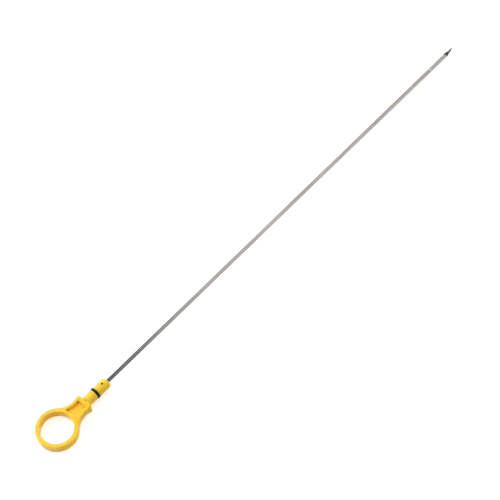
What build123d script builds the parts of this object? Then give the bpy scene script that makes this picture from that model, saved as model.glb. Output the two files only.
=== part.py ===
from build123d import *
import math
import os

# Engine oil dipstick: a moulded finger-ring handle, a rubber seal ring on its shank and a long flat
# steel blade whose end is twisted on edge.
#
# Frame: the origin is on the shank's axis, in the plane where the flange seats on the tube's mouth.
# +X runs down the blade to its tip, and the finger ring lies flat in the XY plane. +Z is up, with the
# part laid down: it then rests on the flange's lower edge and on the twisted end of the blade.

# Driving dimensions, in millimetres

# Finger ring and the web that carries it
ring_bore = 32.0            # finger hole
ring_wall = 4.3             # radial wall of the ring
ring_thickness = 9.6        # across the flat faces of ring and web
ring_reach = 37.1           # flange seat to the centre of the ring
edge_round = 0.9            # rounded outer edges of ring and web
bore_edge_break = 0.6       # softened edges of the finger hole
neck_width = 15.8           # narrowest place of the web
neck_share = 0.23           # place of the neck, as a share of the way from the flange to the ring's centre
pocket_depth = 3.4          # recess in each face of the web
pocket_rim = 3.0            # wall left beside the recess
bore_rim = 2.7              # wall left between the recess and the finger hole
pocket_corner = 1.2         # rounded corners beside the finger ring
pocket_floor_slope = 0.6    # sloped edge between the recess's walls and its floor
pocket_edge_break = 0.3     # softened upper edge of the recess

# Flange that stops on the tube's mouth
flange_width = 18.0
flange_height = 12.0
flange_thickness = 4.6
flange_corner = 2.4
flange_edge_break = 1.4     # broken edge around the seat
flange_back_length = 2.2    # the flange's back slopes in over this length
flange_back_height = 1.3    # and by this much all round

# Shank that enters the tube
shank_diameter = 10.6
shank_length = 28.2
shank_nose_length = 2.8     # the nose is rounded as a quarter of an ellipse
shank_nose_height = 2.3

# Seal ring and its groove
seal_section = 2.6          # thickness of the rubber
seal_diameter = 11.8        # outside, fitted in the groove
seal_reach = 12.3           # flange seat to the middle of the seal
seal_squeeze = 0.12         # rubber flattened where it bears on the groove's floor
groove_side_gap = 0.15      # free space on each side of the seal

# Locating hole through shank and blade
hole_diameter = 2.2
hole_reach = 21.9           # flange seat to the hole's axis

# Blade
blade_width = 4.0
blade_thickness = 0.9
blade_root_length = 20.0    # length held inside the shank
blade_flat_length = 480.7   # flat stretch from the shank's end to the twist
blade_twist_length = 5.0    # stretch that turns the end on edge
blade_point_length = 5.5    # pointed end, standing on edge
blade_point_nib = 0.7       # blunt height left at the very tip
blade_twist_steps = 9       # sections that carry the twist

# Level marks stamped across the blade
mark_width = 0.8
mark_depth = 0.2
mark_low_reach = 22.0       # start of the twist to the lower mark
mark_span = 28.0            # lower mark to upper mark

# Derived sizes

ring_outer_radius = ring_bore / 2 + ring_wall
shank_radius = shank_diameter / 2
seal_inner_radius = seal_diameter / 2 - seal_section
groove_radius = seal_inner_radius + seal_squeeze
groove_width = seal_section + 2 * groove_side_gap

# The web's side is one hollow arc, tangent to the ring's outside and narrowest at the neck.
neck_half = neck_width / 2
neck_reach = ring_reach * neck_share
neck_from_ring = ring_reach - neck_reach
web_arc_radius = (neck_from_ring**2 + neck_half**2 - ring_outer_radius**2) / (
    2 * (ring_outer_radius - neck_half)
)
web_arc_y = neck_half + web_arc_radius
web_start_share = ring_outer_radius / (ring_outer_radius + web_arc_radius)
web_start = (-ring_reach + neck_from_ring * web_start_share, web_arc_y * web_start_share)
web_end_x = -flange_thickness / 2
web_end_y = web_arc_y - math.sqrt(web_arc_radius**2 - (web_end_x + neck_reach) ** 2)
web_neck = (-neck_reach, neck_half)

blade_root_x = shank_length - blade_root_length
twist_start_x = shank_length + blade_flat_length
point_start_x = twist_start_x + blade_twist_length
tip_x = point_start_x + blade_point_length


def in_y_mirror(point):
    """The same plan point on the other side of the axis."""
    return (point[0], -point[1])


# Grip: finger ring and web, cut from one plate with a recess in each face
with BuildPart() as grip:
    with BuildSketch(Plane.XY):
        with Locations((-ring_reach, 0)):
            Circle(ring_outer_radius)
        with BuildLine():
            ThreePointArc(web_start, web_neck, (web_end_x, web_end_y))
            Line((web_end_x, web_end_y), (web_end_x, -web_end_y))
            ThreePointArc((web_end_x, -web_end_y), in_y_mirror(web_neck), in_y_mirror(web_start))
            Line(in_y_mirror(web_start), web_start)
        make_face()
        with Locations((-ring_reach, 0)):
            Circle(ring_bore / 2, mode=Mode.SUBTRACT)
    extrude(amount=ring_thickness / 2, both=True)

    chamfer(grip.edges().filter_by(lambda edge: edge.is_closed), bore_edge_break)
    outline_edges = grip.edges().filter_by(GeomType.CIRCLE).filter_by(lambda edge: not edge.is_closed)
    fillet(outline_edges, edge_round)

    # Recess, bounded by the finger hole's rim, the web's hollow sides and the flange
    with BuildSketch(Plane.XY.offset(ring_thickness / 2 - pocket_depth)) as pocket:
        with Locations((-flange_thickness, 0)):
            Rectangle(ring_reach, 2 * web_start[1], align=(Align.MAX, Align.CENTER))
        with Locations((-ring_reach, 0)):
            Circle(ring_bore / 2 + bore_rim, mode=Mode.SUBTRACT)
        with Locations((-neck_reach, web_arc_y), (-neck_reach, -web_arc_y)):
            Circle(web_arc_radius + pocket_rim, mode=Mode.SUBTRACT)
        fillet(pocket.vertices().sort_by(Axis.X)[:2], pocket_corner)
    recess = extrude(amount=pocket_depth, mode=Mode.SUBTRACT)
    mirror(recess, about=Plane.XY, mode=Mode.SUBTRACT)
    floors = grip.faces().filter_by(Plane.XY).group_by(Axis.Z)[1:-1]
    chamfer([edge for level in floors for edge in level.edges()], pocket_floor_slope)
    rims = []
    for flat in (grip.faces().sort_by(Axis.Z)[0], grip.faces().sort_by(Axis.Z)[-1]):
        rims += flat.inner_wires().sort_by(Axis.X)[-1].edges()
    chamfer(rims, pocket_edge_break)

# Handle: the grip, the flange and the shank are one moulding
with BuildPart() as handle:
    with BuildSketch(Plane.YZ):
        RectangleRounded(flange_width, flange_height, flange_corner)
    extrude(amount=-flange_thickness)
    chamfer(handle.edges().group_by(Axis.X)[-1], flange_edge_break)
    back = handle.faces().sort_by(Axis.X)[0]
    chamfer(back.edges(), flange_back_height, flange_back_length, reference=back)

    # Shank: half its profile, with the seal's groove and the nose, turned about its axis
    groove_start = seal_reach - groove_width / 2
    groove_end = seal_reach + groove_width / 2
    nose_start = shank_length - shank_nose_length
    nose_tip_radius = shank_radius - shank_nose_height
    with BuildSketch(Plane.XY):
        with BuildLine():
            Polyline(
                (0, 0),
                (0, shank_radius),
                (groove_start, shank_radius),
                (groove_start, groove_radius),
                (groove_end, groove_radius),
                (groove_end, shank_radius),
                (nose_start, shank_radius),
            )
            EllipticalCenterArc(
                (nose_start, nose_tip_radius),
                shank_nose_length,
                shank_nose_height,
                start_angle=0,
                arc_size=90,
            )
            Polyline((shank_length, nose_tip_radius), (shank_length, 0), (0, 0))
        make_face()
    revolve(axis=Axis.X)

    add(grip.part)

    # Seat of the blade's root, and the hole that the mould's locating pin leaves
    with BuildSketch(Plane.YZ.offset(shank_length)):
        Rectangle(blade_width, blade_thickness)
    extrude(amount=-blade_root_length, mode=Mode.SUBTRACT)
    with Locations((hole_reach, 0, shank_radius)):
        Hole(hole_diameter / 2)

# Seal ring: round rubber, flattened where it bears on the groove's floor
with BuildPart() as o_ring:
    with BuildSketch(Plane.XY):
        with Locations((seal_reach, seal_inner_radius + seal_section / 2)):
            Circle(seal_section / 2)
        with Locations((seal_reach, groove_radius)):
            Rectangle(groove_width, seal_section, align=(Align.CENTER, Align.MAX), mode=Mode.SUBTRACT)
    revolve(axis=Axis.X)

# Blade: one strip, held in the shank, twisted on edge and pointed at the end
with BuildPart() as blade:
    with BuildSketch(Plane.YZ.offset(blade_root_x)):
        Rectangle(blade_width, blade_thickness)
    extrude(amount=twist_start_x - blade_root_x)

    # Twist: the left edge rises and the right edge sinks, through a quarter turn
    for step in range(blade_twist_steps + 1):
        share = step / blade_twist_steps
        turn = math.radians(90 * share)
        section_plane = Plane(
            origin=(twist_start_x + blade_twist_length * share, 0, 0),
            x_dir=(0, math.cos(turn), math.sin(turn)),
            z_dir=(1, 0, 0),
        )
        with BuildSketch(section_plane):
            Rectangle(blade_width, blade_thickness)
    loft()

    # Point, standing on edge, with its lower edge sweeping up to a blunt nib
    blade_edge = blade_width / 2
    with BuildSketch(Plane.XZ):
        with BuildLine():
            nib_low = (tip_x, blade_edge - blade_point_nib)
            sweep_up = TangentArc((point_start_x, -blade_edge), nib_low, tangent=(1, 0))
            Polyline(nib_low, (tip_x, blade_edge), (point_start_x, blade_edge), sweep_up @ 0)
        make_face()
    extrude(amount=blade_thickness / 2, both=True)

    # Locating hole in the root, in line with the hole in the shank
    with Locations((hole_reach, 0, blade_thickness / 2)):
        Hole(hole_diameter / 2)

    # Level marks across the upper face
    mark_low_x = twist_start_x - mark_low_reach
    with BuildSketch(Plane.XY.offset(blade_thickness / 2)):
        with Locations((mark_low_x, 0), (mark_low_x - mark_span, 0)):
            Rectangle(mark_width, blade_width)
    extrude(amount=-mark_depth, mode=Mode.SUBTRACT)

handle.part.label = "handle"
o_ring.part.label = "o_ring"
blade.part.label = "blade"

os.makedirs("parts", exist_ok=True)
export_step(handle.part, "parts/handle.step")
export_step(o_ring.part, "parts/o_ring.step")
export_step(blade.part, "parts/blade.step")
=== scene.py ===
import math

import bpy
from mathutils import Matrix, Vector


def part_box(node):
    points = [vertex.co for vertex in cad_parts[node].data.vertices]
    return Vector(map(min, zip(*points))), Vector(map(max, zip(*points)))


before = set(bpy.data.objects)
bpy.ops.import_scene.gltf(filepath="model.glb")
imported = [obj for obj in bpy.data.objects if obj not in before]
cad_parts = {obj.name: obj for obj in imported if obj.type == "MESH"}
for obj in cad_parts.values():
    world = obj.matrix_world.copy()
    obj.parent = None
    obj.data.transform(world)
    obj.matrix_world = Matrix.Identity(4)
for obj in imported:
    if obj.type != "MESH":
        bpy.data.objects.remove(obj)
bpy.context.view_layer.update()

MM = 0.001

# Camera, in the part's frame. Its sensor is as wide as the square picture.
CAMERA_PLACE = Vector((-391.9, -752.2, 1655.9)) * MM
CAMERA_RIGHT = Vector((0.68157, -0.72761, -0.07780))
CAMERA_UP = Vector((0.65912, 0.56425, 0.49717))
CAMERA_LENS = 144.25
CAMERA_SENSOR = 36.0

# Places along the blade
blade_low, blade_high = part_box("blade")
POINT_LENGTH = 5.5 * MM
TWIST_LENGTH = 5.0 * MM
LOW_MARK_LENGTH = 22 * MM
MARK_SPAN = 28 * MM
MARK_REACH = 0.4 * MM
TWIST_END_X = blade_high[0] - POINT_LENGTH
TWIST_START_X = TWIST_END_X - TWIST_LENGTH
LOW_MARK_X = TWIST_START_X - LOW_MARK_LENGTH
HIGH_MARK_X = LOW_MARK_X - MARK_SPAN

# Floor. The part lies on the flange's lower edge and on the blade's twisted end, so the floor slopes.
handle_low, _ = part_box("handle")
FLANGE_EDGE_X = -1.4 * MM
FLOOR_SIZE = 6.0
FLOOR_LIFT = 0.6
FLOOR_SLOPE = math.atan2(blade_low[2] - handle_low[2], TWIST_END_X - FLANGE_EDGE_X)

# Softbox
KEY_PLACE = Vector((-0.3, 1.5, 1.9))
KEY_SIZE = 0.9
KEY_POWER = 28

# Surround: a dim patch overhead. The light of a direction depends on the cosine of its angle
# to the patch's middle, and each pair is such a cosine and the level there.
DIM_PATCH = Vector((-0.15, 0.30, 0.94))
TOWARDS_PATCH = (
    (0.0, 0.85),
    (0.5, 0.92),
    (0.66, 1.3),
    (0.75, 1.75),
    (0.80, 0.70),
    (0.901, 0.93),
    (0.918, 0.12),
)

# A second dim patch, low on the near side, with pairs of a cosine and a factor on the first level
NEAR_SIDE = Vector((-0.55, -0.82, 0.05))
TOWARDS_NEAR_SIDE = ((0.5, 1.04), (0.8, 0.06))

# Colours, as the shader takes them
YELLOW = (0.96, 0.585, 0.034, 1)
PALE_YELLOW = (0.96, 0.635, 0.062, 1)
# Painted shade, multiplied into the plastic's colour in its hollows and corners
PAINTED_SHADE_ORANGE = (0.85, 0.30, 0.01, 1)
PAINTED_SHADE_BROWN = (0.25, 0.07, 0.01, 1)
RUBBER_BLACK = (0.020, 0.011, 0.006, 1)
RUBBER_DUSTY = (0.028, 0.018, 0.011, 1)
STEEL_DARK = (0.465, 0.440, 0.415, 1)
STEEL_LIGHT = (0.565, 0.537, 0.505, 1)
# Painted shade for the blade's twisted tip, standing for the dark reflection its turned faces show
PAINTED_TIP_SHADE = (0.07, 0.06, 0.058, 1)
STEEL_MARK = (0.92, 0.90, 0.87, 1)
FLOOR_GREY = (0.68, 0.68, 0.68, 1)
WHITE = (1, 1, 1, 1)

# Roughness of the smoothest and of the roughest places
PLASTIC_ROUGHNESS = (0.20, 0.31)
RUBBER_ROUGHNESS = (0.38, 0.52)
STEEL_ROUGHNESS = (0.08, 0.16)

# Noises, in waves in a metre along X, Y and Z
PLASTIC_CLOUDS = (140, 140, 140)
PLASTIC_WAVES = (320, 320, 320)
PLASTIC_GLOSS = (900, 900, 900)
RUBBER_DUST = (700, 700, 700)
RUBBER_GRAIN = (2500, 2500, 2500)
STEEL_PATCHES = (35, 260, 260)
STEEL_GRAIN = (60, 5000, 5000)

# Reach of what changes a surface
SOFT_EDGE = 0.6 * MM
# How far the ambient occlusion looks for the painted shade in the plastic's hollows
PAINTED_SHADE_REACH = 5 * MM
# Length over which the painted shade on the blade's twisted tip fades in
TIP_BLEND = 2 * MM

# Sockets of the mix node that carry colours
MIX_UNDER, MIX_OVER, MIX_RESULT = 6, 7, 2


def fill_ramp(ramp, stops):
    """The ramp node gets these (position, colour) stops, which go up."""
    elements = ramp.color_ramp.elements
    while len(elements) < len(stops):
        elements.new(1.0)
    for element, (position, colour) in zip(elements, stops):
        element.position = position
        element.color = colour


class Nodes:
    """Short ways to build one node material."""

    def __init__(self, name):
        self.material = bpy.data.materials.new(name)
        self.material.use_nodes = True
        self.tree = self.material.node_tree
        self.shader = self.tree.nodes["Principled BSDF"]

    def add(self, kind, **settings):
        """A node of this kind. A setting is an input's name with _ for a space, or a property."""
        node = self.tree.nodes.new(kind)
        for name, value in settings.items():
            socket = node.inputs.get(name.replace("_", " "))
            if socket is not None:
                socket.default_value = value
            else:
                setattr(node, name, value)
        return node

    def join(self, source, target):
        """A link from one socket to another."""
        self.tree.links.new(source, target)

    def shade(self, name, source):
        """The shader's input of this name takes what the source gives."""
        self.join(source, self.shader.inputs[name])

    def keep(self, **levels):
        """The shader's inputs, named with _ for a space, get these values all over."""
        for name, level in levels.items():
            self.shader.inputs[name.replace("_", " ")].default_value = level

    def sum(self, first, second):
        """Both values together, at most 1."""
        total = self.add("ShaderNodeMath", operation="ADD", use_clamp=True)
        self.join(first, total.inputs[0])
        self.join(second, total.inputs[1])
        return total.outputs[0]

    def scaled(self, source, factor):
        """The value times this factor."""
        product = self.add("ShaderNodeMath", operation="MULTIPLY")
        self.join(source, product.inputs[0])
        product.inputs[1].default_value = factor
        return product.outputs[0]

    def product(self, first, second):
        """The two colours multiplied."""
        mix = self.add("ShaderNodeMix", data_type="RGBA", blend_type="MULTIPLY")
        mix.inputs["Factor"].default_value = 1.0
        self.join(first, mix.inputs[MIX_UNDER])
        self.join(second, mix.inputs[MIX_OVER])
        return mix.outputs[MIX_RESULT]

    def cover(self, under, colour, share):
        """The colour laid over the one under it, as far as this share says."""
        mix = self.add("ShaderNodeMix", data_type="RGBA")
        self.join(share, mix.inputs["Factor"])
        self.join(under, mix.inputs[MIX_UNDER])
        mix.inputs[MIX_OVER].default_value = colour
        return mix.outputs[MIX_RESULT]

    def near(self, source, place, reach):
        """1 where the value lies within this reach of the place, and 0 elsewhere."""
        test = self.add("ShaderNodeMath", operation="COMPARE")
        self.join(source, test.inputs[0])
        test.inputs[1].default_value = place
        test.inputs[2].default_value = reach
        return test.outputs[0]

    def noise(self, waves, detail=2.0):
        """A noise over the part's own frame, with this many waves in a metre along X, Y and Z."""
        place = self.add("ShaderNodeTexCoord")
        scale = self.add("ShaderNodeMapping", Scale=waves)
        noise = self.add("ShaderNodeTexNoise", Scale=1.0, Detail=detail)
        self.join(place.outputs["Object"], scale.inputs["Vector"])
        self.join(scale.outputs["Vector"], noise.inputs["Vector"])
        return noise.outputs["Fac"]

    def ramp(self, source, *stops):
        """A colour ramp through these (position, colour) stops."""
        ramp = self.add("ShaderNodeValToRGB")
        fill_ramp(ramp, stops)
        self.join(source, ramp.inputs["Fac"])
        return ramp.outputs["Color"]

    def spread(self, source, levels):
        """The noise's middle range, 0.3 to 0.7, laid over these two levels."""
        low, high = levels
        spread = self.add("ShaderNodeMapRange", From_Min=0.3, From_Max=0.7, To_Min=low, To_Max=high)
        self.join(source, spread.inputs["Value"])
        return spread.outputs["Result"]

    def relief(self, source, height, strength, normal=None):
        """The shader's surface follows this height, on top of another normal where one is given."""
        bump = self.add("ShaderNodeBump", Strength=strength, Distance=height)
        self.join(source, bump.inputs["Height"])
        if normal is not None:
            self.join(normal, bump.inputs["Normal"])
        self.shade("Normal", bump.outputs["Normal"])


def plastic_material():
    """Yellow moulded plastic that lets some light through, with painted shade of deep orange and brown
    in its hollows.
    """
    nodes = Nodes("yellow_plastic")
    nodes.keep(Subsurface_Weight=0.8, Subsurface_Radius=(1.0, 0.45, 0.03), Subsurface_Scale=3.0 * MM)
    nodes.keep(IOR=1.46, Specular_IOR_Level=0.28)

    # Colour: a faint cloudiness, and painted shade of deep orange to brown in the hollows and corners,
    # found by ambient occlusion
    clouds = nodes.noise(PLASTIC_CLOUDS, detail=3.0)
    yellow = nodes.ramp(clouds, (0.35, YELLOW), (0.65, PALE_YELLOW))
    # Painted shade: ambient occlusion darkens the colour to deep orange and brown in hollows and
    # corners
    hollow_shade = nodes.add("ShaderNodeAmbientOcclusion", Distance=PAINTED_SHADE_REACH, samples=8, only_local=True)
    stops = (0.06, PAINTED_SHADE_BROWN), (0.28, PAINTED_SHADE_ORANGE), (0.50, WHITE)
    nodes.shade("Base Color", nodes.product(yellow, nodes.ramp(hollow_shade.outputs["AO"], *stops)))

    # Surface: softened edges, slight waves of the mould and a fine uneven gloss
    edges = nodes.add("ShaderNodeBevel", samples=6, Radius=SOFT_EDGE)
    nodes.relief(nodes.noise(PLASTIC_WAVES), 0.05 * MM, 0.35, edges.outputs["Normal"])
    nodes.shade("Roughness", nodes.spread(nodes.noise(PLASTIC_GLOSS), PLASTIC_ROUGHNESS))
    return nodes.material


def rubber_material():
    """Black rubber with a soft sheen and a little dust."""
    nodes = Nodes("black_rubber")
    nodes.keep(Specular_IOR_Level=0.15)
    dust = nodes.noise(RUBBER_DUST, detail=4.0)
    nodes.shade("Base Color", nodes.ramp(dust, (0.45, RUBBER_BLACK), (0.75, RUBBER_DUSTY)))
    nodes.shade("Roughness", nodes.spread(dust, RUBBER_ROUGHNESS))
    nodes.relief(nodes.noise(RUBBER_GRAIN), 0.02 * MM, 0.3)
    return nodes.material


def steel_material():
    """Rolled steel strip with a fine lengthwise grain, bright level marks and painted shade on its
    twisted tip.
    """
    nodes = Nodes("rolled_steel")
    nodes.keep(Metallic=1.0)
    place = nodes.add("ShaderNodeSeparateXYZ")
    nodes.join(nodes.add("ShaderNodeTexCoord").outputs["Object"], place.inputs["Vector"])
    along = place.outputs["X"]

    # Colour: soft darker patches, painted shade on the twisted tip, which stands for the dark
    # reflection its turned faces show, and the level marks
    patches = nodes.noise(STEEL_PATCHES, detail=3.0)
    strip = nodes.ramp(patches, (0.35, STEEL_DARK), (0.65, STEEL_LIGHT))
    # Painted shade: from the start of the twist on, the steel's colour turns nearly black
    tip_shade = nodes.add("ShaderNodeMapRange", From_Min=TWIST_START_X, From_Max=TWIST_START_X + TIP_BLEND)
    nodes.join(along, tip_shade.inputs["Value"])
    strip = nodes.cover(strip, PAINTED_TIP_SHADE, tip_shade.outputs["Result"])
    marks = nodes.sum(*(nodes.near(along, mark, MARK_REACH) for mark in (LOW_MARK_X, HIGH_MARK_X)))
    nodes.shade("Base Color", nodes.cover(strip, STEEL_MARK, marks))

    # Surface: the grain that rolling leaves
    grain = nodes.noise(STEEL_GRAIN)
    nodes.shade("Roughness", nodes.spread(grain, STEEL_ROUGHNESS))
    nodes.relief(grain, 0.01 * MM, 0.12)
    return nodes.material


def dress(node, material):
    """The CAD node gets this material on all its faces."""
    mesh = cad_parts[node].data
    mesh.materials.clear()
    mesh.materials.append(material)


def floor_material():
    """Pale grey that shades as the floor it is, and looks white where it is seen or mirrored."""
    nodes = Nodes("white_floor")
    nodes.keep(Base_Color=FLOOR_GREY, Roughness=0.9, Specular_IOR_Level=0.0, Emission_Color=WHITE)
    paths = nodes.add("ShaderNodeLightPath")
    seen = nodes.sum(paths.outputs["Is Camera Ray"], paths.outputs["Is Glossy Ray"])
    seen = nodes.sum(seen, paths.outputs["Is Transmission Ray"])
    nodes.shade("Emission Strength", nodes.scaled(seen, FLOOR_LIFT))
    return nodes.material


def make_floor():
    """The floor under the part, which keeps the part's soft shadow."""
    bpy.ops.mesh.primitive_plane_add(size=FLOOR_SIZE)
    floor = bpy.context.object
    floor.name = "floor"
    floor.location = (FLANGE_EDGE_X, 0, handle_low[2])
    floor.rotation_euler = (0, -FLOOR_SLOPE, 0)
    floor.data.materials.append(floor_material())


def make_key_light():
    """A square softbox that faces the part's origin."""
    light = bpy.data.lights.new("key", "AREA")
    light.size = KEY_SIZE
    light.energy = KEY_POWER
    lamp = bpy.data.objects.new("key", light)
    lamp.location = KEY_PLACE
    lamp.rotation_euler = (-KEY_PLACE).to_track_quat("-Z", "Y").to_euler()
    bpy.context.scene.collection.objects.link(lamp)


def make_camera():
    """The camera, placed by its position and its right and up directions."""
    camera = bpy.data.cameras.new("camera")
    camera.lens = CAMERA_LENS
    camera.sensor_width = CAMERA_SENSOR
    holder = bpy.data.objects.new("camera", camera)
    right = CAMERA_RIGHT.normalized()
    back = right.cross(CAMERA_UP).normalized()
    up = back.cross(right)
    turn = Matrix((right, up, back)).transposed()
    holder.matrix_world = Matrix.Translation(CAMERA_PLACE) @ turn.to_4x4()
    bpy.context.scene.collection.objects.link(holder)
    bpy.context.scene.camera = holder


def world_levels(tree, middle, stops):
    """Levels over the surround, by the cosine of a direction's angle to this middle."""
    coords = tree.nodes.new("ShaderNodeTexCoord")
    facing = tree.nodes.new("ShaderNodeVectorMath")
    facing.operation = "DOT_PRODUCT"
    facing.inputs[1].default_value = middle.normalized()
    ramp = tree.nodes.new("ShaderNodeValToRGB")
    fill_ramp(ramp, [(cosine, (level, level, level, 1)) for cosine, level in stops])
    tree.links.new(coords.outputs["Generated"], facing.inputs[0])
    tree.links.new(facing.outputs["Value"], ramp.inputs["Fac"])
    return ramp.outputs["Color"]


def make_world():
    """A pale surround with a bright band at mid height and two dim patches."""
    world = bpy.data.worlds.new("surround")
    world.use_nodes = True
    tree = world.node_tree
    background = tree.nodes["Background"]
    tree.links.new(world_levels(tree, DIM_PATCH, TOWARDS_PATCH), background.inputs["Color"])
    tree.links.new(world_levels(tree, NEAR_SIDE, TOWARDS_NEAR_SIDE), background.inputs["Strength"])
    bpy.context.scene.world = world


dress("handle", plastic_material())
dress("o_ring", rubber_material())
dress("blade", steel_material())
make_floor()
make_world()
make_key_light()
make_camera()
bpy.context.scene.view_settings.view_transform = "Standard"
